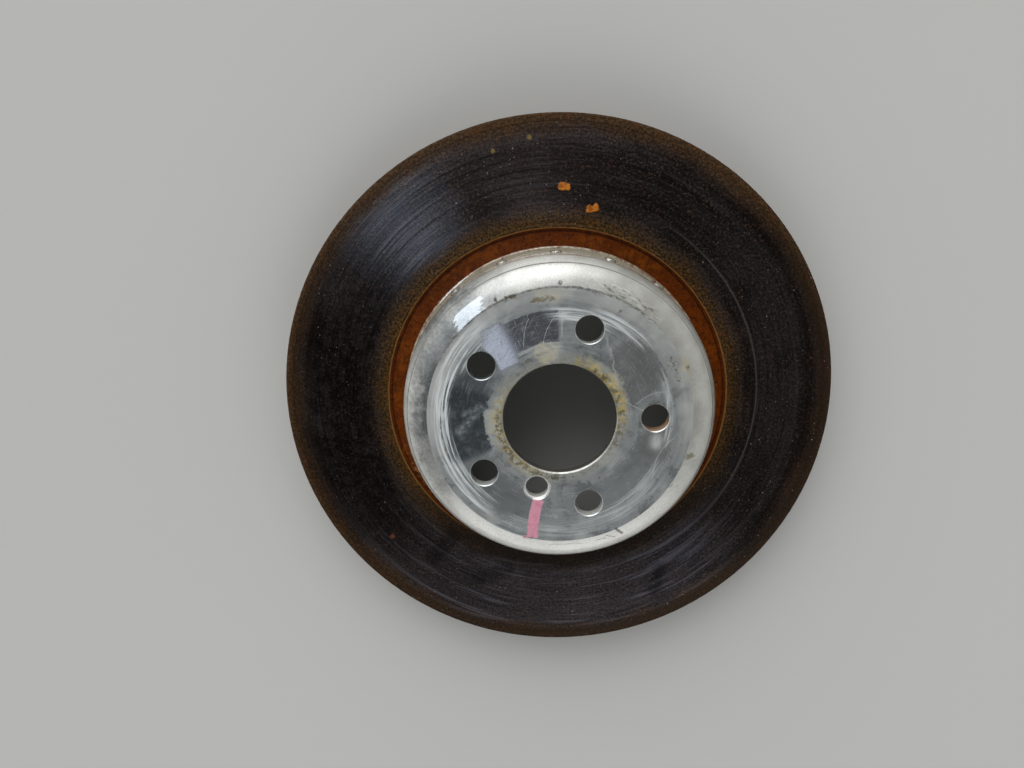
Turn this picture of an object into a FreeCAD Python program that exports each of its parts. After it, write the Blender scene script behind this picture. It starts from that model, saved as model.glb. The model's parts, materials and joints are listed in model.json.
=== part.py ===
import FreeCAD, Part
import math
import os

# Two-piece ventilated brake disc: an iron friction ring pinned round an aluminium hat.
# Millimetres. +Z is the disc's axis and points outboard, to the wheel. The origin is on
# the axis, in the plane of the hat's back face, which sits on the hub. One wheel-bolt
# hole lies on +X.

# Friction ring: overall sizes
DISC_RADIUS = 174.0
DISC_THICKNESS = 30.0
PLATE_THICKNESS = 9.0
DISC_RISE = 43.0          # from the ring's outboard face up to the hat's wheel face
FACE_INNER_RADIUS = 107.6
RIM_CHAMFER = 1.0

# Friction ring: worn tracks left by the pads, with the unworn lips beside them
TRACK_INNER_RADIUS = 110.5
TRACK_OUTER_RADIUS = 169.0
WEAR_DEPTH = 0.4
LIP_SLOPE = 0.8
INNER_LIP_CHAMFER = 0.5

# Friction ring: the step inside the outboard face, and the collar that enters the hat
STEP_DEPTH = 2.0
STEP_CHAMFER = 0.8
COLLAR_HEIGHT = 21.0      # from the step's floor
COLLAR_WALL = 6.0
COLLAR_CHAMFER = 1.2
COLLAR_ROOT_CHAMFER = 1.5
COLLAR_MOUTH_CHAMFER = 2.5

# Friction ring: cooling vanes between the two plates
VANE_COUNT = 36
VANE_INNER_RADIUS = 113.0
VANE_OUTER_RADIUS = 171.5
VANE_INNER_WIDTH = 4.6
VANE_OUTER_WIDTH = 7.0
VANE_ROOT = 1.0           # how far each vane is cast into its plates
INBOARD_PLATE_INNER_RADIUS = 109.0

# Hat: a bell with a flat wheel face, a rounded shoulder and a beaded skirt
HAT_PLATE = 7.5
HAT_WALL = 5.0
HAT_OUTER_RADIUS = 94.5
SHOULDER_RADIUS = 18.5
FACING_CUT = 0.12         # the wheel face is turned this far below the shoulder's crown
INNER_CORNER_RADIUS = 12.0
BEAD_RADIUS = 97.0
BEAD_HEIGHT = 3.0
BEAD_ROUND = 1.2
SKIRT_MOUTH_CHAMFER = 2.0
COLLAR_CLEARANCE = 0.15   # radial, between the collar and the hat's wall

# Hat: the hub bore, the wheel-bolt holes and the set-screw hole
BORE_RADIUS = 33.5
BORE_OUTBOARD_CHAMFER = 0.8
BORE_INBOARD_CHAMFER = 1.0
BOLT_COUNT = 5
BOLT_CIRCLE_RADIUS = 56.0
BOLT_HOLE_RADIUS = 8.25
BOLT_HOLE_CHAMFER = 0.5
SCREW_CIRCLE_RADIUS = 45.0
SCREW_ANGLE = 252.0
SCREW_HOLE_RADIUS = 6.75
SCREW_COUNTERSINK = 1.5

# Joint pins: headed radial pins through the hat's wall into the collar
PIN_COUNT = 18
PIN_FIRST_ANGLE = 10.5
PIN_RISE = 12.5           # from the ring's outboard face up to the pins' axes
PIN_SHANK_RADIUS = 2.75
PIN_HEAD_RADIUS = 3.6
PIN_HEAD_HEIGHT = 1.1
PIN_HEAD_CHAMFER = 0.5
PIN_END_CHAMFER = 0.5
PIN_END_SETBACK = 0.6     # the pin's inner end stops short of the collar's inner wall
PIN_CLEARANCE = 0.03      # radial, between a pin and its holes
SPOT_FACE_DEPTH = 0.25
SPOT_FACE_MARGIN = 0.5

# Heights and radii that follow from the sizes above
wheel_face_z = HAT_PLATE
outboard_z = wheel_face_z - DISC_RISE
inboard_z = outboard_z - DISC_THICKNESS
vent_top_z = outboard_z - PLATE_THICKNESS
vent_bottom_z = inboard_z + PLATE_THICKNESS
step_z = outboard_z - STEP_DEPTH
collar_top_z = step_z + COLLAR_HEIGHT
pin_z = outboard_z + PIN_RISE
hat_inner_radius = HAT_OUTER_RADIUS - HAT_WALL
collar_outer_radius = hat_inner_radius - COLLAR_CLEARANCE
collar_inner_radius = collar_outer_radius - COLLAR_WALL
pin_seat_radius = HAT_OUTER_RADIUS - SPOT_FACE_DEPTH

AXIS = FreeCAD.Vector(0, 0, 1)
ORIGIN = FreeCAD.Vector(0, 0, 0)
CLEAR = 1.0               # how far a cutting tool runs past the face it leaves


class Profile:
    """An outline of straight runs and arcs, in radius and height."""

    def __init__(self, radius, height):
        self.start = FreeCAD.Vector(radius, 0, height)
        self.last = self.start
        self.edges = []

    def line(self, radius, height):
        end = FreeCAD.Vector(radius, 0, height)
        self.edges.append(Part.makeLine(self.last, end))
        self.last = end

    def arc(self, centre, arc_radius, middle_angle, radius, height):
        """An arc round centre that passes its middle angle, in degrees, and ends at the point."""
        angle = math.radians(middle_angle)
        middle = FreeCAD.Vector(
            centre[0] + arc_radius * math.cos(angle), 0,
            centre[1] + arc_radius * math.sin(angle))
        end = FreeCAD.Vector(radius, 0, height)
        self.edges.append(Part.Arc(self.last, middle, end).toShape())
        self.last = end

    def revolved(self, axis=AXIS):
        if (self.last - self.start).Length > 1e-6:
            self.edges.append(Part.makeLine(self.last, self.start))
        face = Part.Face(Part.Wire(self.edges))
        return face.revolve(ORIGIN, axis, 360)


def around_axis(shape, angle):
    """A copy of shape turned about the disc's axis."""
    turned = shape.copy()
    turned.rotate(ORIGIN, AXIS, angle)
    return turned


def pattern(shape, count, first_angle=0.0):
    """Copies of shape, evenly spaced round the disc's axis."""
    return [around_axis(shape, first_angle + 360.0 * i / count) for i in range(count)]


def outboard_plate():
    """The outboard plate, with the step inside its face and the collar for the hat."""
    worn_z = outboard_z - WEAR_DEPTH
    p = Profile(DISC_RADIUS, vent_top_z)
    p.line(DISC_RADIUS, outboard_z - RIM_CHAMFER)
    p.line(DISC_RADIUS - RIM_CHAMFER, outboard_z)
    p.line(TRACK_OUTER_RADIUS + LIP_SLOPE, outboard_z)
    p.line(TRACK_OUTER_RADIUS, worn_z)
    p.line(TRACK_INNER_RADIUS, worn_z)
    p.line(TRACK_INNER_RADIUS - LIP_SLOPE, outboard_z)
    p.line(FACE_INNER_RADIUS + INNER_LIP_CHAMFER, outboard_z)
    p.line(FACE_INNER_RADIUS, outboard_z - INNER_LIP_CHAMFER)
    p.line(FACE_INNER_RADIUS, step_z + STEP_CHAMFER)
    p.line(FACE_INNER_RADIUS - STEP_CHAMFER, step_z)
    p.line(collar_outer_radius + COLLAR_ROOT_CHAMFER, step_z)
    p.line(collar_outer_radius, step_z + COLLAR_ROOT_CHAMFER)
    p.line(collar_outer_radius, collar_top_z - COLLAR_CHAMFER)
    p.line(collar_outer_radius - COLLAR_CHAMFER, collar_top_z)
    p.line(collar_inner_radius + COLLAR_CHAMFER, collar_top_z)
    p.line(collar_inner_radius, collar_top_z - COLLAR_CHAMFER)
    p.line(collar_inner_radius, vent_top_z + COLLAR_MOUTH_CHAMFER)
    p.line(collar_inner_radius + COLLAR_MOUTH_CHAMFER, vent_top_z)
    return p.revolved()


def inboard_plate():
    """The inboard plate, a flat ring with the same worn track on its hidden face."""
    worn_z = inboard_z + WEAR_DEPTH
    bore = INBOARD_PLATE_INNER_RADIUS
    p = Profile(DISC_RADIUS, vent_bottom_z)
    p.line(bore, vent_bottom_z)
    p.line(bore, inboard_z + INNER_LIP_CHAMFER)
    p.line(bore + INNER_LIP_CHAMFER, inboard_z)
    p.line(TRACK_INNER_RADIUS - LIP_SLOPE + INNER_LIP_CHAMFER, inboard_z)
    p.line(TRACK_INNER_RADIUS + INNER_LIP_CHAMFER, worn_z)
    p.line(TRACK_OUTER_RADIUS, worn_z)
    p.line(TRACK_OUTER_RADIUS + LIP_SLOPE, inboard_z)
    p.line(DISC_RADIUS - RIM_CHAMFER, inboard_z)
    p.line(DISC_RADIUS, inboard_z + RIM_CHAMFER)
    return p.revolved()


def vane():
    """One straight radial vane, wider towards the rim, with round ends."""
    inner_round = VANE_INNER_WIDTH / 2
    outer_round = VANE_OUTER_WIDTH / 2
    inner_centre = VANE_INNER_RADIUS + inner_round
    outer_centre = VANE_OUTER_RADIUS - outer_round
    # The flanks are tangent to both end rounds, so they lean by this angle.
    lean = math.asin((outer_round - inner_round) / (outer_centre - inner_centre))
    bottom = vent_bottom_z - VANE_ROOT

    def end_point(centre, radius, side):
        return FreeCAD.Vector(centre - radius * math.sin(lean), side * radius * math.cos(lean), bottom)

    inner_left = end_point(inner_centre, inner_round, 1)
    inner_right = end_point(inner_centre, inner_round, -1)
    outer_left = end_point(outer_centre, outer_round, 1)
    outer_right = end_point(outer_centre, outer_round, -1)
    inner_tip = FreeCAD.Vector(VANE_INNER_RADIUS, 0, bottom)
    outer_tip = FreeCAD.Vector(VANE_OUTER_RADIUS, 0, bottom)
    outline = Part.Wire([
        Part.makeLine(inner_left, outer_left),
        Part.Arc(outer_left, outer_tip, outer_right).toShape(),
        Part.makeLine(outer_right, inner_right),
        Part.Arc(inner_right, inner_tip, inner_left).toShape(),
    ])
    height = vent_top_z - vent_bottom_z + 2 * VANE_ROOT
    return Part.Face(outline).extrude(AXIS * height)


def radial_cylinder(radius, start, end, angle, height):
    """A cylinder whose axis is a radius of the disc, between two distances from the axis."""
    base = FreeCAD.Vector(start, 0, height)
    along = FreeCAD.Vector(1, 0, 0)
    return around_axis(Part.makeCylinder(radius, end - start, base, along), angle)


def pin_angles():
    return [PIN_FIRST_ANGLE + 360.0 * i / PIN_COUNT for i in range(PIN_COUNT)]


def friction_ring():
    """The one-piece iron casting: two plates, the vanes between them, and the drilled collar."""
    ring = outboard_plate().fuse([inboard_plate()] + pattern(vane(), VANE_COUNT)).removeSplitter()
    holes = [
        radial_cylinder(PIN_SHANK_RADIUS + PIN_CLEARANCE, collar_inner_radius - CLEAR,
                        collar_outer_radius + CLEAR, angle, pin_z)
        for angle in pin_angles()
    ]
    return ring.cut(holes)


def hat_blank():
    """The hat before drilling, turned inside and out."""
    crown_z = wheel_face_z + FACING_CUT
    shoulder_r = HAT_OUTER_RADIUS - SHOULDER_RADIUS
    shoulder_z = crown_z - SHOULDER_RADIUS
    # Where the turned face meets the shoulder's round.
    drop = SHOULDER_RADIUS - FACING_CUT
    face_edge = shoulder_r + math.sqrt(SHOULDER_RADIUS ** 2 - drop ** 2)
    bead_top = step_z + BEAD_HEIGHT
    corner_r = hat_inner_radius - INNER_CORNER_RADIUS

    p = Profile(BORE_RADIUS + BORE_OUTBOARD_CHAMFER, wheel_face_z)
    p.line(face_edge, wheel_face_z)
    p.arc((shoulder_r, shoulder_z), SHOULDER_RADIUS, 45, HAT_OUTER_RADIUS, shoulder_z)
    p.line(HAT_OUTER_RADIUS, bead_top)
    p.line(BEAD_RADIUS - BEAD_ROUND, bead_top)
    p.arc((BEAD_RADIUS - BEAD_ROUND, bead_top - BEAD_ROUND), BEAD_ROUND, 45,
          BEAD_RADIUS, bead_top - BEAD_ROUND)
    p.line(BEAD_RADIUS, step_z)
    p.line(hat_inner_radius + SKIRT_MOUTH_CHAMFER, step_z)
    p.line(hat_inner_radius, step_z + SKIRT_MOUTH_CHAMFER)
    p.line(hat_inner_radius, -INNER_CORNER_RADIUS)
    p.arc((corner_r, -INNER_CORNER_RADIUS), INNER_CORNER_RADIUS, 45, corner_r, 0)
    p.line(BORE_RADIUS + BORE_INBOARD_CHAMFER, 0)
    p.line(BORE_RADIUS, BORE_INBOARD_CHAMFER)
    p.line(BORE_RADIUS, wheel_face_z - BORE_OUTBOARD_CHAMFER)
    return p.revolved()


def countersunk_hole(radius, chamfer, circle_radius, angle):
    """A cutter for a hole through the hat's plate, chamfered on the wheel face."""
    drill = Part.makeCylinder(radius, HAT_PLATE + 2 * CLEAR, FreeCAD.Vector(0, 0, -CLEAR))
    sink = Part.makeCone(radius, radius + chamfer + CLEAR, chamfer + CLEAR,
                         FreeCAD.Vector(0, 0, wheel_face_z - chamfer))
    tool = drill.fuse(sink)
    tool.translate(FreeCAD.Vector(circle_radius, 0, 0))
    return around_axis(tool, angle)


def hat():
    """The aluminium hat, drilled for the wheel bolts, the set screw and the joint pins."""
    tools = [
        countersunk_hole(BOLT_HOLE_RADIUS, BOLT_HOLE_CHAMFER, BOLT_CIRCLE_RADIUS, 360.0 * i / BOLT_COUNT)
        for i in range(BOLT_COUNT)
    ]
    tools.append(countersunk_hole(SCREW_HOLE_RADIUS, SCREW_COUNTERSINK, SCREW_CIRCLE_RADIUS, SCREW_ANGLE))
    for angle in pin_angles():
        tools.append(radial_cylinder(PIN_SHANK_RADIUS + PIN_CLEARANCE, hat_inner_radius - CLEAR,
                                     HAT_OUTER_RADIUS + CLEAR, angle, pin_z))
        tools.append(radial_cylinder(PIN_HEAD_RADIUS + SPOT_FACE_MARGIN, pin_seat_radius,
                                     HAT_OUTER_RADIUS + CLEAR, angle, pin_z))
    return hat_blank().cut(tools)


def joint_pin():
    """One pin along +X: a chamfered shank, and a low chamfered head on the hat's spot face."""
    end = collar_inner_radius + PIN_END_SETBACK
    head_top = pin_seat_radius + PIN_HEAD_HEIGHT
    along = FreeCAD.Vector(1, 0, 0)
    p = Profile(end, 0)
    p.line(end, PIN_SHANK_RADIUS - PIN_END_CHAMFER)
    p.line(end + PIN_END_CHAMFER, PIN_SHANK_RADIUS)
    p.line(pin_seat_radius, PIN_SHANK_RADIUS)
    p.line(pin_seat_radius, PIN_HEAD_RADIUS)
    p.line(head_top - PIN_HEAD_CHAMFER, PIN_HEAD_RADIUS)
    p.line(head_top, PIN_HEAD_RADIUS - PIN_HEAD_CHAMFER)
    p.line(head_top, 0)
    pin = p.revolved(along)
    pin.translate(FreeCAD.Vector(0, 0, pin_z))
    return pin


def joint_pins():
    """All the pins, as a group of separate solids."""
    return Part.makeCompound(pattern(joint_pin(), PIN_COUNT, PIN_FIRST_ANGLE))


os.makedirs("parts", exist_ok=True)
nodes = {
    "friction_ring": friction_ring(),
    "hat": hat(),
    "joint_pins": joint_pins(),
}
for name, shape in nodes.items():
    shape.exportStep("parts/" + name + ".step")
    print(name, "solids", len(shape.Solids), "valid", shape.isValid(), "volume_mm3", round(shape.Volume))
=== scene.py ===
import json
import math

import bmesh
import bpy
from mathutils import Euler, Matrix, Vector


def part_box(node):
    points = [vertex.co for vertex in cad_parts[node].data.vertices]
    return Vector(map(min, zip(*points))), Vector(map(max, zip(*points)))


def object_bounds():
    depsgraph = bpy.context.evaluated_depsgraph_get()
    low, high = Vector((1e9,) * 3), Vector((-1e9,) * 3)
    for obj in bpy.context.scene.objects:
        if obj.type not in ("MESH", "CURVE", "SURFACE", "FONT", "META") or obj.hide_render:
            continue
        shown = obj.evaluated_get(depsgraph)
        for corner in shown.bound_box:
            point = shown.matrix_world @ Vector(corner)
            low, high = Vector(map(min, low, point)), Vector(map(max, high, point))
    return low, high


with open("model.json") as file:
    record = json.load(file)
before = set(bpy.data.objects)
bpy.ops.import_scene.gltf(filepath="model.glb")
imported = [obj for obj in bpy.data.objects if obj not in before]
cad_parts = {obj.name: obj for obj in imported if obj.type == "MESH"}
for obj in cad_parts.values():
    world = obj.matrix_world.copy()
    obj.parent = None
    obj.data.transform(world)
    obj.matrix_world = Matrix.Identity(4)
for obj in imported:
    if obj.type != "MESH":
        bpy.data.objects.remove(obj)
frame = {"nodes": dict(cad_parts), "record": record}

cad_box = [list(corner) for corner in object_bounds()]


# Friction ring: one grey-iron casting of two plates, radial vanes and a collar that enters the
# hat. The pads have left a dark, finely scored film on its turned faces. Its edges, its step
# and all that the pads don't reach are brown with rust.

MM = 1000.0


def shade(red, green, blue):
    """A colour as it reads on a screen, 0 to 255, as the shader's own numbers."""
    def linear(value):
        value = value / 255
        return value / 12.92 if value <= 0.04045 else ((value + 0.055) / 1.055) ** 2.4
    return (linear(red), linear(green), linear(blue), 1.0)


class Field:
    """A number, colour or direction that varies over a surface."""

    def __init__(self, finish, socket):
        self.finish = finish
        self.socket = socket

    def __add__(self, other):
        return self.finish.sum("ADD", self, other)

    def __sub__(self, other):
        return self.finish.sum("SUBTRACT", self, other)

    def __rsub__(self, other):
        return self.finish.sum("SUBTRACT", other, self)

    def __mul__(self, other):
        return self.finish.sum("MULTIPLY", self, other)

    def __truediv__(self, other):
        return self.finish.sum("DIVIDE", self, other)

    __radd__ = __add__


class Finish:
    """A finish whose colours and wear are worked out from a point's place on the disc, in millimetres."""

    def __init__(self, name):
        self.material = bpy.data.materials.new(name)
        self.material.use_nodes = True
        self.tree = self.material.node_tree
        self.shader = self.tree.nodes["Principled BSDF"]
        place = self.node("ShaderNodeTexCoord", {}, "Object")
        self.point = self.node("ShaderNodeVectorMath", {0: place, "Scale": MM}, 0, operation="SCALE")
        self.x = self.node("ShaderNodeSeparateXYZ", {0: self.point}, 0)
        self.y = self.node("ShaderNodeSeparateXYZ", {0: self.point}, 1)
        self.z = self.node("ShaderNodeSeparateXYZ", {0: self.point}, 2)
        self.radius = self.sum("SQRT", self.x * self.x + self.y * self.y)
        self.cosine = self.x / self.sum("MAXIMUM", self.radius, 0.001)
        self.sine = self.y / self.sum("MAXIMUM", self.radius, 0.001)
        self.fray_across = self.noise(3.2, 41.0, 4.0, 0.6) - 0.5
        self.fray_up = self.noise(3.2, 53.0, 4.0, 0.6) - 0.5
        self.colour, self.metal, self.gloss = (0.5, 0.5, 0.5, 1.0), 0.0, 0.5

    def node(self, kind, inputs, output, **settings):
        """One shader node: its inputs may be fields or plain values, and one output comes back."""
        made = self.tree.nodes.new(kind)
        for key, value in settings.items():
            setattr(made, key, value)
        for key, value in inputs.items():
            if isinstance(value, Field):
                self.tree.links.new(value.socket, made.inputs[key])
            else:
                made.inputs[key].default_value = value
        return Field(self, made.outputs[output])

    def set(self, name, value):
        """Gives one of the shader's own sockets a field or a plain value."""
        if isinstance(value, Field):
            self.tree.links.new(value.socket, self.shader.inputs[name])
        else:
            self.shader.inputs[name].default_value = value

    def sum(self, operation, *values):
        """What a piece of arithmetic makes of fields and numbers."""
        return self.node("ShaderNodeMath", dict(enumerate(values)), 0, operation=operation)

    def most(self, *values):
        """The greatest of several fields."""
        result = values[0]
        for value in values[1:]:
            result = self.sum("MAXIMUM", result, value)
        return result

    def fade(self, value, start, end):
        """0 up to start and 1 past end, or the other way round where end is the lower."""
        inputs = {0: value, 1: start, 2: end, 3: 0.0, 4: 1.0}
        return self.node("ShaderNodeMapRange", inputs, 0, interpolation_type="SMOOTHSTEP")

    def between(self, value, low, high, soft):
        """1 from low to high, with soft edges."""
        return self.fade(value, low - soft, low + soft) * self.fade(value, high + soft, high - soft)

    def mix(self, below, above, share):
        """A number that goes from below to above as share goes from 0 to 1."""
        return self.node("ShaderNodeMix", {0: share, 2: below, 3: above}, 0, data_type="FLOAT")

    def paint(self, under, over, share):
        """A colour laid over another, by its share from 0 to 1."""
        return self.node("ShaderNodeMix", {0: share, 6: under, 7: over}, 2, data_type="RGBA")

    def marks(self, places, soft=0.3, ragged=0.0):
        """A slab for each x, y, angle, length and width in a list."""
        return self.most(*[self.slab(*place, soft, ragged) for place in places])

    def lay(self, share, colour=None, metal=None, rough=None):
        """Lays a coat over what is there, by its share from 0 to 1."""
        if colour is not None:
            self.colour = self.paint(self.colour, colour, share)
        if metal is not None:
            self.metal = self.mix(self.metal, metal, share)
        if rough is not None:
            self.gloss = self.mix(self.gloss, rough, share)

    def shifted(self, point, seed):
        """A point moved far enough for another seed's noise to look unrelated."""
        inputs = {0: point, 1: (seed * 37.1, seed * 11.7, seed * 5.3)}
        return self.node("ShaderNodeVectorMath", inputs, 0, operation="ADD")

    def noise(self, size, seed=0.0, detail=2.0, rough=0.5, point=None):
        """Soft random values about 0.5 whose patches are about this size."""
        inputs = {"Vector": self.shifted(point or self.point, seed), "Scale": 1.0 / size, "Detail": detail,
                  "Roughness": rough}
        return self.node("ShaderNodeTexNoise", inputs, 0)

    def streaks(self, pitch, turns, seed=0.0, detail=2.0, rough=0.6):
        """Random values drawn out round the axis, like marks left on a lathe: pitch apart, and
        about one radian divided by turns long."""
        inputs = {0: self.radius / pitch, 1: self.cosine * turns, 2: self.sine * turns}
        point = self.node("ShaderNodeCombineXYZ", inputs, 0)
        return self.noise(1.0, seed, detail, rough, point)

    def slants(self, angle, long, wide, seed):
        """Random values drawn out along one direction, like short strokes."""
        cosine, sine = math.cos(math.radians(angle)), math.sin(math.radians(angle))
        inputs = {0: (self.x * cosine + self.y * sine) / long, 1: (self.y * cosine - self.x * sine) / wide}
        return self.noise(1.0, seed, 2.0, 0.6, self.node("ShaderNodeCombineXYZ", inputs, 0))

    def flecks(self, spacing, size, share, seed=0.0):
        """Scattered round dots: 1 in the middle of a dot, 0 outside."""
        inputs = {"Vector": self.shifted(self.point, seed), "Scale": 1.0 / spacing}
        cell = self.node("ShaderNodeTexVoronoi", inputs, "Distance")
        tone = self.node("ShaderNodeSeparateColor", {0: Field(self, cell.socket.node.outputs["Color"])}, 0)
        picked = self.fade(tone, 1.0 - share, 1.0 - share + 0.02)
        edge = size / spacing
        return self.fade(cell, edge, edge * 0.4) * picked

    def spot(self, x, y, size, soft=0.4, ragged=0.0):
        """1 within size of a place on the disc, with an edge that may be ragged."""
        across, up = self.x - x, self.y - y
        away = self.sum("SQRT", across * across + up * up)
        if ragged:
            away = away + self.fray_across * ragged
        return self.fade(away, size + soft, size - soft)

    def slab(self, x, y, angle, length, width, soft=0.5, ragged=0.0, bow=0.0):
        """1 in a rectangle centred on a place, its length turned by angle, its ends bent aside by bow."""
        cosine, sine = math.cos(math.radians(angle)), math.sin(math.radians(angle))
        across, up = self.x - x, self.y - y
        along = across * cosine + up * sine
        aside = up * cosine - across * sine
        if bow:
            aside = aside + along * along * (4 * bow / length ** 2)
        if ragged:
            along, aside = along + self.fray_across * ragged, aside + self.fray_up * ragged
        along, aside = self.sum("ABSOLUTE", along), self.sum("ABSOLUTE", aside)
        return (self.fade(along, length / 2 + soft, length / 2 - soft)
                * self.fade(aside, width / 2 + soft, width / 2 - soft))

    def sector(self, middle, half, soft):
        """1 within half degrees of an azimuth."""
        cosine, sine = math.cos(math.radians(middle)), math.sin(math.radians(middle))
        toward = self.cosine * cosine + self.sine * sine
        outer, inner = math.radians(half + soft), math.radians(max(half - soft, 0.0))
        return self.fade(toward, math.cos(outer), math.cos(inner))

    def relief(self, height, strength=1.0):
        """Bumps of a height in millimetres."""
        bump = self.node("ShaderNodeBump", {"Strength": strength, "Distance": 0.001, "Height": height}, 0)
        self.set("Normal", bump)

    def turned(self, amount, rotation):
        """The sheen of a surface that is grooved round the disc's axis."""
        self.set("Anisotropic", amount)
        self.set("Anisotropic Rotation", rotation)
        tangent = self.node("ShaderNodeTangent", {}, 0, direction_type="RADIAL", axis="Z")
        self.set("Tangent", tangent)

    def cover(self, node):
        """Sets the coats on the shader and puts the finish on a piece of the frame."""
        self.set("Base Color", self.colour)
        self.set("Metallic", self.metal)
        self.set("Roughness", self.gloss)
        slots = frame["nodes"][node].data.materials
        slots.clear()
        slots.append(self.material)


mounts = {mount["name"]: mount for mount in frame["record"]["mounts"]}
inboard_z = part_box("friction_ring")[0].z * MM
face_z = mounts["pad_face_outboard"]["pos_m"][2] * MM
face_inner = 107.6
inboard_face_inner = 109.0
collar_radius = 92.0

iron = Finish("worn_iron")
r = iron.radius
# Which part of the casting a point is on.
on_outboard = iron.fade(iron.z, face_z - 1.0, face_z - 0.6) * iron.fade(r, face_inner - 1.1, face_inner - 0.7)
on_inboard = iron.fade(iron.z, inboard_z + 1.5, inboard_z + 1.1)
on_inboard = on_inboard * iron.fade(r, inboard_face_inner - 0.2, inboard_face_inner + 0.2)
on_face = iron.most(on_outboard, on_inboard)

broad = iron.noise(34.0, 2.0, 2.0)
mottle = iron.noise(6.0, 1.0, 4.0, 0.62)
pores = iron.noise(2.6, 4.0, 3.0, 0.6)
grit = iron.noise(1.2, 3.0, 2.0, 0.7)
speck = iron.noise(1.5, 9.0, 3.0, 0.8)

# Orange-brown rust of the step and the collar, then the duller brown skin of the rim and vents.
iron.colour, iron.metal, iron.gloss = shade(80, 36, 2), 0.0, 0.85
iron.lay(iron.fade(mottle, 0.42, 0.62), shade(108, 52, 4))
iron.lay(iron.fade(broad, 0.46, 0.58) * 0.6, shade(88, 36, 2))
iron.lay(iron.fade(pores, 0.52, 0.68) * 0.65, shade(40, 18, 7))
iron.lay(iron.fade(grit, 0.54, 0.7) * 0.5, shade(138, 74, 24))
cast = iron.paint(shade(56, 43, 31), shade(84, 62, 42), iron.fade(mottle, 0.38, 0.66))
cast = iron.paint(cast, shade(30, 23, 17), iron.fade(pores, 0.5, 0.66) * 0.6)
cast = iron.paint(cast, shade(104, 72, 42), iron.fade(grit, 0.56, 0.7) * 0.4)
iron.lay(iron.fade(r, face_inner + 0.6, face_inner + 1.6), cast)

# What faces the hub is darker, with brake dust over the rust.
ring_bore = iron.fade(r, inboard_face_inner + 1.0, inboard_face_inner - 1.0)
inner_side = iron.most(iron.fade(r, collar_radius + 0.5, collar_radius - 0.5),
                       iron.fade(iron.z, face_z - 8.0, face_z - 10.0) * ring_bore)
iron.lay(inner_side, shade(38, 27, 19))

# The pads' film: dark, with bands, grooves and fine lines that run round the face.
fine = iron.streaks(0.8, 4.0, 5.0, 2.0, 0.7)
lines = iron.streaks(1.9, 2.2, 6.0, 3.0, 0.65)
grooves = iron.streaks(4.2, 1.4, 11.0, 3.0, 0.6)
bands = iron.streaks(9.0, 1.2, 7.0, 2.0, 0.5)
patch = iron.noise(30.0, 8.0, 2.0)
below, above = iron.sector(272.0, 42.0, 20.0), iron.sector(100.0, 52.0, 22.0)
film = iron.paint(shade(40, 36, 36), shade(64, 59, 59), iron.fade(bands * 0.5 + patch * 0.5, 0.4, 0.6))
# Painted reflection: the film is made lighter and bluer below the hat.
film = iron.paint(film, shade(54, 53, 58), below * 0.6)
film = iron.paint(film, shade(30, 25, 21), iron.fade(speck, 0.5, 0.4) * 0.75)
film = iron.paint(film, shade(104, 82, 68), iron.fade(speck, 0.56, 0.68) * 0.75)
film = iron.paint(film, shade(24, 21, 20), iron.fade(lines, 0.54, 0.66) * 0.6)
film = iron.paint(film, shade(96, 92, 96), iron.fade(fine, 0.57, 0.72) * 0.4)
# Bright bluish grooves, strongest below the hat: partly real scoring, partly painted reflection.
film = iron.paint(film, shade(104, 104, 112), iron.fade(grooves, 0.55, 0.64) * (0.15 + below * 0.85) * 0.45)
iron.lay(on_face, film, 0.85, 0.34 + (lines - 0.5) * 0.2)
# Painted shade: the film is darkened at the left, where it reflects the dim side of the room.
painted_dark_side = iron.sector(182.0, 30.0, 22.0) * iron.between(r + (patch - 0.5) * 20.0, 119.0, 158.0, 6.0)
iron.lay(on_outboard * painted_dark_side * (0.42 + iron.fade(mottle, 0.56, 0.42) * 0.36), shade(11, 8, 8))
# Painted shade: the film is darkened a little at the right.
right_shade = iron.sector(8.0, 52.0, 24.0) * iron.fade(r, 112.0, 124.0)
iron.lay(on_outboard * right_shade * 0.3, shade(26, 22, 19))
dusty = iron.fade(speck, 0.53, 0.68) * (0.3 + iron.sector(30.0, 50.0, 30.0) * 0.4 + above * 0.1)
iron.lay(on_face * dusty, shade(76, 58, 44), 0.1, 0.8)
# Painted sheen: a bluish tint where the window's highlight falls on the film, up to the left.
painted_blue_sheen = iron.sector(130.0, 11.0, 8.0) * iron.between(r, 116.0, 162.0, 8.0)
iron.lay(on_outboard * painted_blue_sheen * 0.22 * (0.4 + lines * 1.2), shade(62, 70, 80))
# Painted shade: the film is darkened at the top.
top_shade = iron.sector(96.0, 14.0, 10.0) * iron.between(r, 118.0, 160.0, 8.0)
iron.lay(on_outboard * top_shade * 0.4, shade(34, 27, 27))
# Four dark scores: each is its radius and how far it strays.
dark_arcs = above * iron.most(*[iron.between(r + stray, at - 0.6, at + 0.6, 0.4) for at, stray in (
    (150.0, 0.0), (155.1, 0.0), (135.1, iron.fray_across * 0.8), (142.6, iron.fray_up * 0.8))])
iron.lay(on_outboard * dark_arcs * iron.fade(lines * 0.4 + patch * 0.6, 0.44, 0.56) * 0.6, shade(14, 12, 12))
pale_arc = iron.sector(10.0, 42.0, 14.0) * iron.between(r, 126.4, 127.4, 0.4)
iron.lay(on_outboard * pale_arc * 0.5, shade(112, 102, 96), 0.6)
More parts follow.
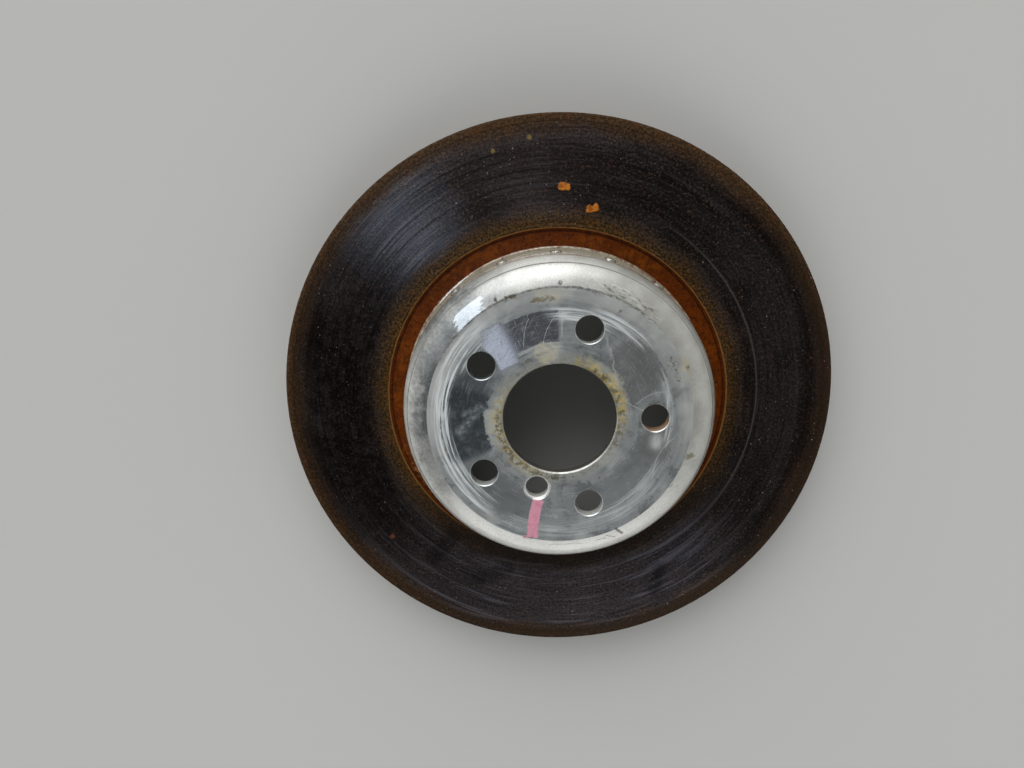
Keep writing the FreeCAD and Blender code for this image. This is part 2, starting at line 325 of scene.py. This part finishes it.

# Rust that creeps in from both edges, in specks and then closed; below the hat, a painted shadow.
creep = (iron.noise(1.5, 10.0, 3.0, 0.8) - 0.5) * 15.0 + (broad - 0.5) * 12.0
outer_rust = iron.fade(r + creep, 160.0, 171.0)
inner_rust = iron.fade(r + creep, 124.0, 109.0)
olive = iron.paint(shade(36, 24, 6), shade(88, 62, 24), iron.fade(speck, 0.42, 0.6))
olive = iron.paint(olive, shade(96, 54, 18), iron.fade(mottle, 0.54, 0.7) * 0.5)
brown = iron.paint(shade(48, 34, 20), shade(86, 63, 38), iron.fade(speck, 0.42, 0.62))
brown = iron.paint(brown, shade(88, 50, 24), iron.fade(mottle, 0.5, 0.72) * 0.6)
iron.lay(on_face * inner_rust * 0.9, olive, 0.05, 0.85)
iron.lay(on_face * outer_rust * 0.95, brown, 0.05, 0.85)
low_rim = iron.most(iron.sector(272.0, 50.0, 24.0), iron.sector(340.0, 40.0, 24.0))
low_rim = low_rim * iron.fade(r, 163.0, 169.0)
iron.lay(low_rim * 0.62, shade(28, 21, 15), 0.0, 0.95)
sides = iron.most(iron.sector(178.0, 36.0, 18.0), iron.sector(0.0, 42.0, 20.0))
sides = sides * iron.between(r, 158.0, 171.5, 3.0)
iron.lay(on_face * sides * 0.5, shade(22, 14, 8))
# Painted shadow: the face is darkened just below the hat.
hat_shadow = iron.sector(276.0, 50.0, 22.0) * iron.fade(r + (mottle - 0.5) * 10.0, 126.0, 112.0)
iron.lay(on_outboard * hat_shadow * 0.8, shade(17, 15, 15), 0.1, 0.8)
# Painted highlight along the face's inner edge, weaker at the bottom.
lip_highlight = iron.between(r + iron.fray_up * 0.6, face_inner - 0.5, face_inner + 0.6, 0.2)
iron.lay(on_outboard * lip_highlight * (0.85 - below * 0.7), shade(150, 104, 56), 0.1)
# Painted shadow: a dark ring just inside the face's inner edge, down the step.
iron.lay(iron.between(r, face_inner - 2.2, face_inner - 1.2, 0.3) * 0.7, shade(30, 13, 5))
crumbs = iron.sector(214.0, 14.0, 8.0) * iron.between(r, 98.0, 106.0, 1.5) * iron.fade(pores, 0.5, 0.6)
iron.lay(crumbs * 0.85, iron.paint(shade(150, 112, 74), shade(126, 60, 18), iron.fade(grit, 0.4, 0.6)))

# Marks of its own: two flakes of bright rust, a few pale ones, oily smears and dust.
smears = iron.most(iron.slab(68.0, -129.0, 78.0, 24.0, 9.0, 3.5, 12.0) * 0.7,
                   iron.slab(-78.0, -104.0, 50.0, 30.0, 12.0, 3.0, 12.0) * 0.7,
                   iron.slab(-44.0, -124.0, 20.0, 30.0, 9.0, 3.0, 10.0) * 0.6)
iron.lay(on_outboard * smears * 0.8, shade(12, 12, 13), 0.8, 0.3)
dust = iron.most(iron.flecks(2.6, 0.34, 0.4, 1.0), iron.flecks(5.0, 0.55, 0.35, 2.0))
dust = dust * (0.3 + iron.fade(iron.noise(18.0, 16.0, 1.0), 0.42, 0.6) * 0.7)
iron.lay(on_face * dust * 0.85, shade(148, 138, 134), 0.1, 0.7)
pale_flakes = iron.most(iron.spot(-15.4, 160.2, 1.3, 0.6, 2.5), iron.spot(-37.3, 153.0, 1.0, 0.6, 2.5))
iron.lay(on_outboard * pale_flakes * 0.6, shade(140, 118, 66), 0.0, 0.8)
iron.lay(on_outboard * iron.spot(-111.3, -95.1, 1.4, 0.8, 2.5) * 0.7, shade(120, 66, 40), 0.0, 0.8)
flakes = iron.most(iron.spot(4.0, 132.2, 2.5, 0.4, 3.4), iron.spot(7.0, 131.4, 1.9, 0.4, 3.0),
                   iron.spot(20.6, 118.6, 2.5, 0.4, 3.4), iron.spot(23.6, 118.9, 2.4, 0.4, 3.2))
flake_tone = iron.paint(shade(150, 80, 22), shade(200, 124, 44), iron.fade(pores, 0.42, 0.6))
iron.lay(on_outboard * flakes * 0.95, flake_tone, 0.0, 0.8)

# Rust has next to no shine, and the turned film shines across its grooves.
iron.set("Specular IOR Level", 0.1)
iron.turned(0.9, 0.25)
rough_skin = (grit - 0.5) * 0.25 + (mottle - 0.5) * 0.5
scores = (lines - 0.5) * 0.16 + (fine - 0.5) * 0.09 + (grooves - 0.5) * 0.24
scores = scores + (speck - 0.5) * 0.04 + dust * 0.05 + flakes * 0.3
iron.relief(iron.mix(rough_skin, scores, on_face))
iron.cover("friction_ring")


# Hat: a turned aluminium bell that sits on the hub and carries the ring. Its flat face has the
# scuffs, polished print and stains that a wheel leaves, and its shoulder is satin.

hat_low, hat_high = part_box("hat")
wheel_z = hat_high.z * MM
bead_height = 3.0
bead_top = hat_low.z * MM + bead_height
bore_radius = mounts["hub_bore"]["dims"]["r_mm"]
bolt_circle_radius = mounts["wheel_bolts"]["dims"]["pcd_mm"] / 2
wall_radius = 94.5
face_edge = 78.1

alloy = Finish("hat_alloy")
r = alloy.radius
on_plate = alloy.fade(alloy.z, wheel_z - 0.9, wheel_z - 0.5) * alloy.fade(r, face_edge + 0.3, face_edge - 0.1)
outside = alloy.most(alloy.fade(r, wall_radius - 4.0, wall_radius - 3.0), alloy.fade(alloy.z, 0.2, 0.8))
on_wall = alloy.fade(r, wall_radius - 0.7, wall_radius - 0.2)
on_bead = alloy.fade(alloy.z, bead_top + 0.7, bead_top + 0.2)

grain = alloy.noise(0.9, 1.0, 2.0, 0.7)
cloud = alloy.noise(13.0, 2.0, 3.0, 0.6)
haze = alloy.noise(3.0, 3.0, 4.0, 0.7)
dapple = alloy.noise(1.7, 6.0, 3.0, 0.7)
turning = alloy.streaks(0.8, 3.0, 4.0, 2.0, 0.7)
arcs = alloy.streaks(1.3, 1.7, 5.0, 3.0, 0.7)
fray = alloy.fray_across

# Dusty inside first, then the satin skin of the shoulder and the wall, finely speckled, with painted
# shade to the right and grime to the left.
alloy.colour, alloy.metal, alloy.gloss = shade(48, 43, 38), 0.2, 0.7
satin = alloy.paint(shade(212, 212, 206), shade(198, 198, 192), alloy.fade(cloud, 0.4, 0.62))
satin = alloy.paint(satin, shade(168, 167, 160), alloy.fade(grain, 0.5, 0.68) * 0.5)
satin = alloy.paint(satin, shade(232, 232, 226), alloy.fade(grain, 0.46, 0.34) * 0.4)
alloy.lay(outside, satin, 0.16, 0.5)
# Painted shade: the shoulder and the wall are darkened to the right.
shoulder_right_shade = alloy.sector(26.0, 46.0, 26.0) * (0.72 + (cloud - 0.5) * 0.8)
alloy.lay(outside * shoulder_right_shade, shade(146, 145, 137), 0.4)
left_grime = alloy.sector(174.0, 34.0, 22.0) * alloy.fade(r + fray * 9.0, 93.0, 84.0)
left_grime = left_grime * (0.66 + alloy.fade(cloud, 0.4, 0.6) * 0.22 + alloy.fade(dapple, 0.34, 0.66) * 0.12)
alloy.lay(outside * left_grime, shade(50, 54, 54), 0.4, 0.5)
upper_grime = alloy.sector(136.0, 20.0, 12.0) * alloy.between(r, 79.0, 96.0, 3.0)
upper_grime = upper_grime * (0.45 + alloy.fade(cloud, 0.4, 0.6) * 0.25 + alloy.fade(dapple, 0.36, 0.66) * 0.2)
alloy.lay(outside * upper_grime, shade(80, 86, 87), 0.4, 0.5)
pits = alloy.flecks(2.4, 0.3, 0.3, 3.0)
alloy.lay(outside * pits * 0.6, shade(92, 88, 80), 0.2, 0.7)
alloy.lay(on_wall * (0.25 + alloy.fade(cloud, 0.42, 0.66) * 0.35), shade(138, 124, 104), 0.2, 0.65)
# Painted shade: a dark band at the foot of the wall, just above the bead.
foot_shade = on_wall * alloy.between(alloy.z, bead_top + 0.2, bead_top + 1.6, 0.3)
alloy.lay(foot_shade * 0.8, shade(58, 44, 32), 0.0, 0.9)
rusty_edge = alloy.fade(haze + (r - 96.2) * 0.12, 0.42, 0.6)
bead_tone = alloy.paint(shade(150, 140, 118), shade(98, 60, 28), rusty_edge)
alloy.lay(on_bead * alloy.fade(r, wall_radius - 1.5, wall_radius - 1.0), bead_tone, 0.1, 0.65)

# The wheel's print on the face: bands rubbed smooth between rougher, hazed ones.
plate = alloy.paint(shade(166, 171, 171), shade(150, 156, 157), alloy.fade(cloud, 0.38, 0.64))
plate = alloy.paint(plate, shade(126, 133, 134), alloy.fade(haze, 0.5, 0.68) * 0.45)
plate = alloy.paint(plate, shade(188, 193, 193), alloy.fade(turning, 0.54, 0.72) * 0.4)
brushed = alloy.streaks(2.4, 2.6, 13.0, 3.0, 0.65)
plate = alloy.paint(plate, shade(118, 125, 127), alloy.fade(brushed, 0.54, 0.66) * 0.5)
plate = alloy.paint(plate, shade(192, 197, 196), alloy.fade(brushed, 0.46, 0.36) * 0.35)
alloy.lay(on_plate, plate, 0.6, 0.3 + (haze - 0.5) * 0.15)
wander = alloy.noise(16.0, 14.0, 4.0, 0.65)
alloy.lay(on_plate * alloy.fade(wander, 0.52, 0.64) * 0.55, shade(122, 129, 131), 0.85, 0.2)
alloy.lay(on_plate * alloy.fade(wander, 0.46, 0.36) * 0.4, shade(184, 187, 184), 0.35, 0.45)
outer_haze = alloy.sector(92.0, 104.0, 22.0) * alloy.fade(r + fray * 5.0, 64.0, 74.0)
alloy.lay(on_plate * outer_haze * (0.4 + alloy.fade(cloud, 0.4, 0.6) * 0.4), shade(192, 193, 188), 0.35, 0.4)
soft_fray = fray * 3.0
top_print = alloy.sector(113.0, 22.5, 1.0) * alloy.between(r + fray * 2.0, 46.5, 65.0, 0.5)
streak_print = alloy.slab(-34.0, 44.0, 116.5, 26.0, 12.6, 1.0, 2.4)
top_print = alloy.most(top_print, streak_print)
left_print = alloy.sector(182.0, 22.0, 3.0) * alloy.between(r + fray * 8.0, 43.5, 70.0, 1.2)
left_gloom = alloy.sector(160.0, 22.0, 14.0) * alloy.between(r, 46.0, 66.0, 4.0)
alloy.lay(on_plate * left_gloom * 0.75, shade(112, 120, 124), 0.95, 0.14)
right_print = alloy.slab(46.5, 32.0, 48.0, 46.0, 33.0, 3.0, 7.0)
right_print = right_print * alloy.between(r + soft_fray, 41.0, 67.0, 2.0)
low_print = alloy.sector(-48.0, 32.0, 10.0) * alloy.between(r + soft_fray, 46.0, 66.0, 2.5)
low_left = alloy.sector(232.0, 24.0, 12.0) * alloy.between(r + soft_fray, 48.0, 70.0, 3.0)
alloy.lay(on_plate * right_print * (0.55 + alloy.fade(cloud, 0.4, 0.6) * 0.35),
          shade(160, 163, 162), 0.85, 0.2)
alloy.lay(on_plate * low_print * 0.6, shade(166, 172, 172), 0.8, 0.2)
alloy.lay(on_plate * low_left * 0.7, shade(156, 163, 164), 0.85, 0.18)
alloy.lay(on_plate * left_print * 0.95, shade(128, 140, 146), 1.0, 0.09)
alloy.lay(on_plate * top_print * 0.95, shade(186, 192, 202), 1.0, 0.05)
alloy.lay(on_plate * alloy.slab(57.0, -14.5, 81.0, 20.0, 14.0, 4.0) * 0.9, shade(182, 184, 184), 0.95, 0.05)
crossed = alloy.most(alloy.slants(62.0, 11.0, 0.5, 31.0), alloy.slants(108.0, 9.0, 0.45, 32.0),
                     alloy.slants(20.0, 10.0, 0.4, 33.0))
crossed = alloy.fade(crossed, 0.62, 0.7) * (top_print + right_print * 0.6 + left_print * 0.4)
alloy.lay(on_plate * crossed * 0.5, shade(196, 200, 202), 0.4, 0.4)
rubs = alloy.fade(alloy.noise(7.0, 8.0, 3.0, 0.7), 0.48, 0.7) * (left_print * 0.4 + top_print * 0.2)
alloy.lay(on_plate * rubs, shade(150, 157, 160), 0.6)
wipe = alloy.marks([(-54.0, -1.0, 50.0, 20.0, 4.0), (-50.0, 5.5, 20.0, 15.0, 3.5),
                    (-57.0, -7.0, 75.0, 10.0, 2.5)], 2.2, 6.0)
alloy.lay(on_plate * wipe * (0.2 + alloy.fade(haze, 0.4, 0.6) * 0.4), shade(176, 181, 182), 0.4, 0.35)
inner_left = alloy.slab(-40.5, -1.0, 96.0, 15.0, 8.0, 0.6, 3.0)
alloy.lay(on_plate * inner_left * 0.7, shade(178, 178, 168), 0.3, 0.45)
under_top = alloy.between(r + fray * 2.5, 41.0, 47.5, 0.5) * alloy.sector(105.0, 17.0, 3.0)
alloy.lay(on_plate * under_top * alloy.fade(arcs, 0.42, 0.62) * 0.6, shade(196, 198, 192), 0.3, 0.45)
edge_line = alloy.sum("ABSOLUTE", alloy.x - 29.5 - fray * 8.0 + (alloy.y - 38.0) * 0.25)
edge_right = alloy.fade(edge_line, 1.0, 0.3) * alloy.between(alloy.y, 22.0, 50.0, 3.0)
alloy.lay(on_plate * edge_right * 0.35, shade(204, 206, 202), 0.2, 0.5)

# Scuffs that run round the face, strongest to the left, at the top and to the right.
# Each is the middle and half width of its arc in degrees, its two radii and its strength.
scuffs = alloy.most(*[
    alloy.sector(middle, half, 7.0) * alloy.between(r, low, high, 1.2) * strength
    for middle, half, low, high, strength in (
        (157.0, 26.0, 66.0, 75.5, 1.0), (203.0, 28.0, 64.0, 74.5, 0.9), (142.0, 8.0, 62.0, 70.0, 0.7),
        (78.0, 15.0, 58.5, 66.0, 0.9), (55.0, 14.0, 62.0, 69.0, 0.8), (5.0, 20.0, 62.5, 66.0, 0.7),
        (-52.0, 26.0, 62.0, 73.0, 0.4), (268.0, 24.0, 66.0, 75.0, 0.3))])
alloy.lay(on_plate * scuffs * (0.15 + alloy.fade(arcs, 0.42, 0.6) * 0.85), shade(218, 223, 222), 0.15, 0.5)
scratches = alloy.most(alloy.slab(-6.0, 56.0, 62.0, 22.0, 0.3, 0.2, 0.0, 2.0),
                       alloy.slab(1.4, 57.0, 90.0, 15.0, 0.5, 0.2),
                       alloy.slab(-20.0, 52.0, 80.0, 17.0, 0.3, 0.2, 0.5, 1.0),
                       alloy.slab(52.0, 14.0, 24.0, 18.0, 0.4, 0.25, 0.8, 2.0),
                       alloy.slab(42.0, 8.0, 150.0, 26.0, 0.4, 0.25, 0.8, 2.0),
                       alloy.slab(58.0, -24.0, 66.0, 30.0, 0.4, 0.25, 0.5, 4.0))
alloy.lay(on_plate * scratches * 0.6, shade(208, 211, 210), 0.3, 0.5)
hairs = alloy.fade(alloy.streaks(0.6, 3.0, 12.0, 2.0, 0.6), 0.54, 0.68) * alloy.fade(cloud, 0.44, 0.6)
alloy.lay(on_plate * hairs * 0.3, shade(210, 214, 214), 0.3, 0.4)

# Stain round the bore, brown pits in it, and grime where the turned face meets the shoulder.
round_bore = alloy.sector(34.0, 34.0, 20.0) * 0.85 + alloy.sector(200.0, 46.0, 26.0) * 0.5 + 0.15
blotch = alloy.fade(haze, 0.34, 0.56)
stain = alloy.fade(r + fray * 7.0, 43.0, 36.5) * round_bore * (0.3 + blotch * 0.7)
stain_tone = alloy.paint(shade(168, 162, 128), shade(178, 154, 70), alloy.fade(haze, 0.46, 0.6))
alloy.lay(on_plate * stain, stain_tone, 0.1, 0.6)
bore_edge = alloy.fade(r + fray * 3.0, 36.6, 34.4) * (0.3 + blotch * 0.5)
bore_edge = bore_edge * (0.2 + alloy.sector(34.0, 34.0, 16.0) * 0.6 + alloy.sector(208.0, 36.0, 16.0) * 0.6)
alloy.lay(on_plate * bore_edge, shade(124, 106, 48), 0.05, 0.7)
pitted = (0.3 + alloy.sector(34.0, 24.0, 16.0) * 0.7 + alloy.sector(-14.0, 16.0, 10.0) * 0.5
          + alloy.sector(205.0, 28.0, 14.0) * 0.6 + alloy.sector(256.0, 12.0, 10.0) * 0.6)
rot = alloy.fade(alloy.noise(3.4, 21.0, 5.0, 0.75), 0.47, 0.55) * pitted
rot = rot * alloy.between(r + fray * 5.0, 33.5, 38.5, 2.0)
rot_tone = alloy.paint(shade(84, 70, 28), shade(50, 40, 20), alloy.fade(grain, 0.45, 0.6))
alloy.lay(on_plate * rot * 0.95, rot_tone, 0.0, 0.8)
patina = alloy.most(alloy.spot(-8.0, 40.5, 6.5, 1.5, 8.0), alloy.spot(32.0, 22.0, 5.0, 1.5, 6.0) * 0.6)
alloy.lay(on_plate * patina * (0.1 + blotch * 0.45), shade(190, 180, 146), 0.2, 0.6)
seam = alloy.between(r + fray * 1.6, 77.2, 78.6, 0.5) * alloy.sector(98.0, 54.0, 12.0)
alloy.lay(outside * seam * (0.35 + blotch * 0.45), shade(66, 64, 58), 0.1, 0.8)
crust = alloy.most(
    alloy.marks([(-27.5, 72.6, 22.0, 9.0, 2.4), (-9.0, 71.0, 4.0, 15.0, 3.0)], 0.9, 7.0),
    alloy.slab(66.0, 29.0, -66.0, 17.0, 4.0, 1.5, 6.0) * alloy.fade(dapple, 0.5, 0.6),
    *[alloy.spot(x, y, size, 0.5, 5.0) for x, y, size in (
        (0.5, 80.0, 1.2), (-52.0, 59.0, 1.5), (34.0, 63.5, 0.8), (73.8, 30.0, 0.9),
        (-44.0, 65.5, 1.0), (-36.0, 70.5, 1.1))])
chipped = alloy.sector(62.0, 17.0, 6.0) * alloy.between(r + fray * 4.0, 76.5, 84.0, 1.2)
nicks, glints = alloy.slants(-38.0, 4.4, 1.3, 18.0), alloy.slants(-28.0, 5.5, 0.7, 19.0)
alloy.lay(outside * chipped * alloy.fade(glints, 0.56, 0.68) * 0.5, shade(232, 232, 226), 0.2)
alloy.lay(outside * chipped * alloy.fade(nicks, 0.57, 0.66) * 0.75, shade(84, 78, 64), 0.1, 0.8)
crust_tone = alloy.paint(shade(44, 40, 28), shade(92, 82, 50), alloy.fade(grain, 0.45, 0.6))
alloy.lay(outside * crust * (0.45 + alloy.fade(haze, 0.36, 0.52) * 0.5), crust_tone, 0.0, 0.85)
moss = alloy.spot(77.0, -24.0, 2.4, 0.8, 6.0) + alloy.spot(72.0, -12.0, 1.3, 0.6, 4.0) * 0.6
alloy.lay(outside * moss * (0.4 + blotch * 0.4), shade(96, 88, 52), 0.05, 0.8)
yellow = alloy.most(alloy.slab(72.0, 30.0, 100.0, 14.0, 5.0, 1.5, 6.0),
                    alloy.slab(-6.0, 73.0, 0.0, 18.0, 7.0, 1.5, 6.0) * 0.6)
alloy.lay(outside * yellow * 0.4 * blotch, shade(190, 174, 120), 0.2, 0.6)

# Dark nicks and scratches low on the face and the shoulder.
slashes = alloy.most(alloy.slab(35.8, -71.9, -42.0, 6.6, 1.7, 0.3, 0.6),
                     alloy.marks([(25.0, -77.4, 14.0, 7.0, 0.5), (31.0, -75.6, -16.0, 6.0, 0.5),
                                  (66.6, -42.6, 45.0, 2.6, 0.5)], 0.25) * 0.8,
                     alloy.slab(1.5, -36.6, 6.0, 15.0, 0.9, 0.4, 0.6) * alloy.fade(haze, 0.46, 0.54),
                     alloy.slab(3.0, -80.5, 3.0, 20.0, 0.6, 0.4, 1.5) * 0.4)
alloy.lay(outside * slashes * 0.85, shade(52, 50, 48), 0.1, 0.8)

# A short stroke of pink paint below the set-screw hole.
stroke = alloy.most(alloy.slab(-15.9, -63.0, 81.0, 25.0, 6.6, 0.3, 0.7, 1.0),
                    alloy.slab(-20.6, -75.0, 10.0, 5.0, 2.2, 0.5, 2.0) * 0.6)
pink = alloy.paint(shade(218, 146, 167), shade(202, 128, 151), alloy.fade(haze, 0.45, 0.65))
alloy.lay(outside * stroke * 0.95, pink, 0.0, 0.55)
stroke_end = alloy.slab(-19.5, -75.6, -8.0, 6.0, 1.2, 0.4, 2.5) * alloy.fade(grain, 0.42, 0.55)
alloy.lay(outside * stroke_end * 0.85, shade(56, 44, 44), 0.0, 0.8)

# The bore's wall is darker than the face, and one side of one bolt hole has rusted.
bore_wall = alloy.fade(r, bore_radius + 0.5, bore_radius + 0.1)
bore_wall = bore_wall * alloy.fade(alloy.z, wheel_z - 0.6, wheel_z - 1.4)
alloy.lay(bore_wall, shade(104, 100, 92), 0.6, 0.5)
rusty_hole = alloy.spot(bolt_circle_radius, 0.0, 9.0, 0.2) * alloy.fade(alloy.y, 0.0, -3.0)
rusty_hole = rusty_hole * alloy.fade(alloy.z, wheel_z - 0.1, wheel_z - 0.6)
alloy.lay(rusty_hole * (0.4 + alloy.fade(haze, 0.45, 0.6) * 0.5), shade(186, 132, 76), 0.1, 0.7)

# A clear sheen gives the sharp reflections that the worn skin shows over its haze.
alloy.set("Coat Weight", 1.0)
alloy.set("Coat Roughness", 0.05)
alloy.set("Coat IOR", 1.7)
polished = on_plate * alloy.most(top_print, left_print, alloy.slab(57.0, -14.5, 81.0, 18.0, 13.0, 3.0))
alloy.relief(((grain - 0.5) * 0.004 + (turning - 0.5) * 0.006) * (on_plate - polished * 0.9))
alloy.cover("hat")


# Joint pins: headed stainless pins, pressed radially through the hat's wall into the collar.
# Their heads keep a plain bright skin under patches of brake dust.

steel = Finish("pin_steel")
brake_dust = steel.fade(steel.noise(1.2, 1.0, 2.0), 0.45, 0.65)
steel.colour = steel.paint(shade(186, 182, 172), shade(120, 108, 92), brake_dust)
steel.metal, steel.gloss = 0.85, steel.mix(0.28, 0.5, steel.noise(0.8, 2.0))
steel.cover("joint_pins")


# Floor: a plain pale sheet, wide enough to reach the horizon, that the disc lies on. It is not
# part of the object.

FLOOR_REACH = 9.0
FLOOR_SIDES = 96
floor_mesh = bpy.data.meshes.new("floor")
sheet = bmesh.new()
bmesh.ops.create_circle(sheet, cap_ends=True, segments=FLOOR_SIDES, radius=FLOOR_REACH)
sheet.to_mesh(floor_mesh)
sheet.free()
floor = bpy.data.objects.new("floor", floor_mesh)
floor.location.z = cad_box[0][2]
bpy.context.scene.collection.objects.link(floor)
paper = bpy.data.materials.new("floor_paper")
paper.use_nodes = True
paper_shader = paper.node_tree.nodes["Principled BSDF"]
paper_shader.inputs["Base Color"].default_value = shade(198, 198, 195)
paper_shader.inputs["Roughness"].default_value = 0.85
paper_shader.inputs["Specular IOR Level"].default_value = 0.2
floor_mesh.materials.append(paper)


# Light: a plain room that is darker overhead and bright beyond the disc's top. A window of three
# panes up to the left and a tall opening show only as reflections, and two small lamps overhead
# show in the polished prints.

world = bpy.data.worlds.new("room")
bpy.context.scene.world = world
world.use_nodes = True
sky = world.node_tree
way = sky.nodes.new("ShaderNodeTexCoord")
apart = sky.nodes.new("ShaderNodeSeparateXYZ")
ramp = sky.nodes.new("ShaderNodeValToRGB")
sky.links.new(way.outputs["Generated"], apart.inputs[0])
sky.links.new(apart.outputs["Z"], ramp.inputs[0])
steps = ramp.color_ramp.elements
steps[0].position, steps[1].position = 0.0, 1.0
# The room's level by height, from the horizon at 0 to straight overhead at 1.
for height, level in ((0.0, 0.48), (0.35, 0.47), (0.6, 0.38), (0.8, 0.24), (0.92, 0.12), (1.0, 0.085)):
    step = steps.new(height) if 0.0 < height < 1.0 else steps[0 if height == 0.0 else len(steps) - 1]
    step.color = (level, level, level, 1.0)
room = ramp.outputs["Color"]
# Each soft bright side of the room: the direction of its middle, its half width and its level.
for toward, half_width, level in (((-0.2, 0.92, 0.32), 48.0, 3.0), ((0.0, -0.92, 0.34), 42.0, 1.4),
                                  ((-0.9, 0.0, 0.45), 38.0, 0.5), ((0.95, 0.0, 0.4), 38.0, 0.4)):
    nearness = sky.nodes.new("ShaderNodeVectorMath")
    nearness.operation = "DOT_PRODUCT"
    sky.links.new(way.outputs["Generated"], nearness.inputs[0])
    nearness.inputs[1].default_value = Vector(toward).normalized()
    side = sky.nodes.new("ShaderNodeMapRange")
    side.interpolation_type = "SMOOTHSTEP"
    side.inputs["From Min"].default_value = math.cos(math.radians(half_width))
    side.inputs["To Max"].default_value = level
    sky.links.new(nearness.outputs["Value"], side.inputs["Value"])
    both = sky.nodes.new("ShaderNodeVectorMath")
    both.operation = "ADD"
    sky.links.new(room, both.inputs[0])
    sky.links.new(side.outputs["Result"], both.inputs[1])
    room = both.outputs[0]
sky.links.new(room, sky.nodes["Background"].inputs["Color"])


def panel(name, place, facing, along, size, level, tint=(1.0, 1.0, 1.0)):
    """A flat soft light: its place, the way its back points, the way its length runs, its two
    sizes, and the level that it shows."""
    lamp = bpy.data.lights.new(name, "AREA")
    lamp.shape = "RECTANGLE"
    lamp.size, lamp.size_y = size
    lamp.energy = level * math.pi * size[0] * size[1]
    lamp.color = tint
    back = Vector(facing).normalized()
    length = (Vector(along) - back * back.dot(Vector(along))).normalized()
    lamp_object = bpy.data.objects.new(name, lamp)
    lamp_object.location = place
    lamp_object.rotation_euler = Matrix((length, back.cross(length), back)).transposed().to_euler()
    lamp_object.visible_camera = False
    bpy.context.scene.collection.objects.link(lamp_object)
    return lamp_object


OVERHEAD = (0.0, 0.0, 1.0)
WINDOW_PLACE = Vector((-0.912, 0.638, 1.5))
WINDOW_FACING = (-0.488, 0.341, 0.803)
WINDOW_FALL = Vector((-0.474, 0.655, -0.586)).normalized()
WINDOW_TINT = (0.86, 0.98, 1.12)
# Each pane of the window: how far down its slope it lies, its height and its width.
for number, (down, tall, wide) in enumerate(((-0.41, 0.5, 0.29), (0.09, 0.5, 0.39), (0.6, 0.52, 0.5))):
    pane = panel("window_light_%d" % number, WINDOW_PLACE + WINDOW_FALL * down, WINDOW_FACING, WINDOW_FALL,
                 (tall, wide), 7.6, WINDOW_TINT)
    pane.visible_diffuse = False
door = panel("door_light", (-0.095, 1.37, 1.31), (-0.05, 0.72, 0.69), (0.0, 0.69, -0.72),
             (2.0, 0.56), 1.3)
door.visible_diffuse = False
panel("streak_light", (-0.1056, -0.2909, 1.543), OVERHEAD, (0.448, -0.894, 0.0),
      (0.155, 0.083), 0.66, (0.92, 0.96, 1.06))
panel("small_light", (0.3255, -0.5558, 1.543), OVERHEAD, (0.151, 0.988, 0.0), (0.041, 0.025), 1.0)


# Camera: looks down on the disc from where the photograph was taken, seen from the disc. Its
# place and angle come from a fit to the disc's circles.

CAMERA_PLACE = (-0.01833, 0.13732, 0.43817)
CAMERA_ANGLES = (-15.01957, 0.94551, -1.08546)
camera_data = bpy.data.cameras.new("camera")
camera_data.sensor_width = 36.0
camera_data.lens = 27.035
camera_data.clip_start = 0.01
camera_data.clip_end = 50.0
camera = bpy.data.objects.new("camera", camera_data)
camera.location = CAMERA_PLACE
camera.rotation_euler = Euler([math.radians(angle) for angle in CAMERA_ANGLES])
bpy.context.scene.collection.objects.link(camera)
bpy.context.scene.camera = camera
bpy.context.scene.view_settings.view_transform = "Standard"
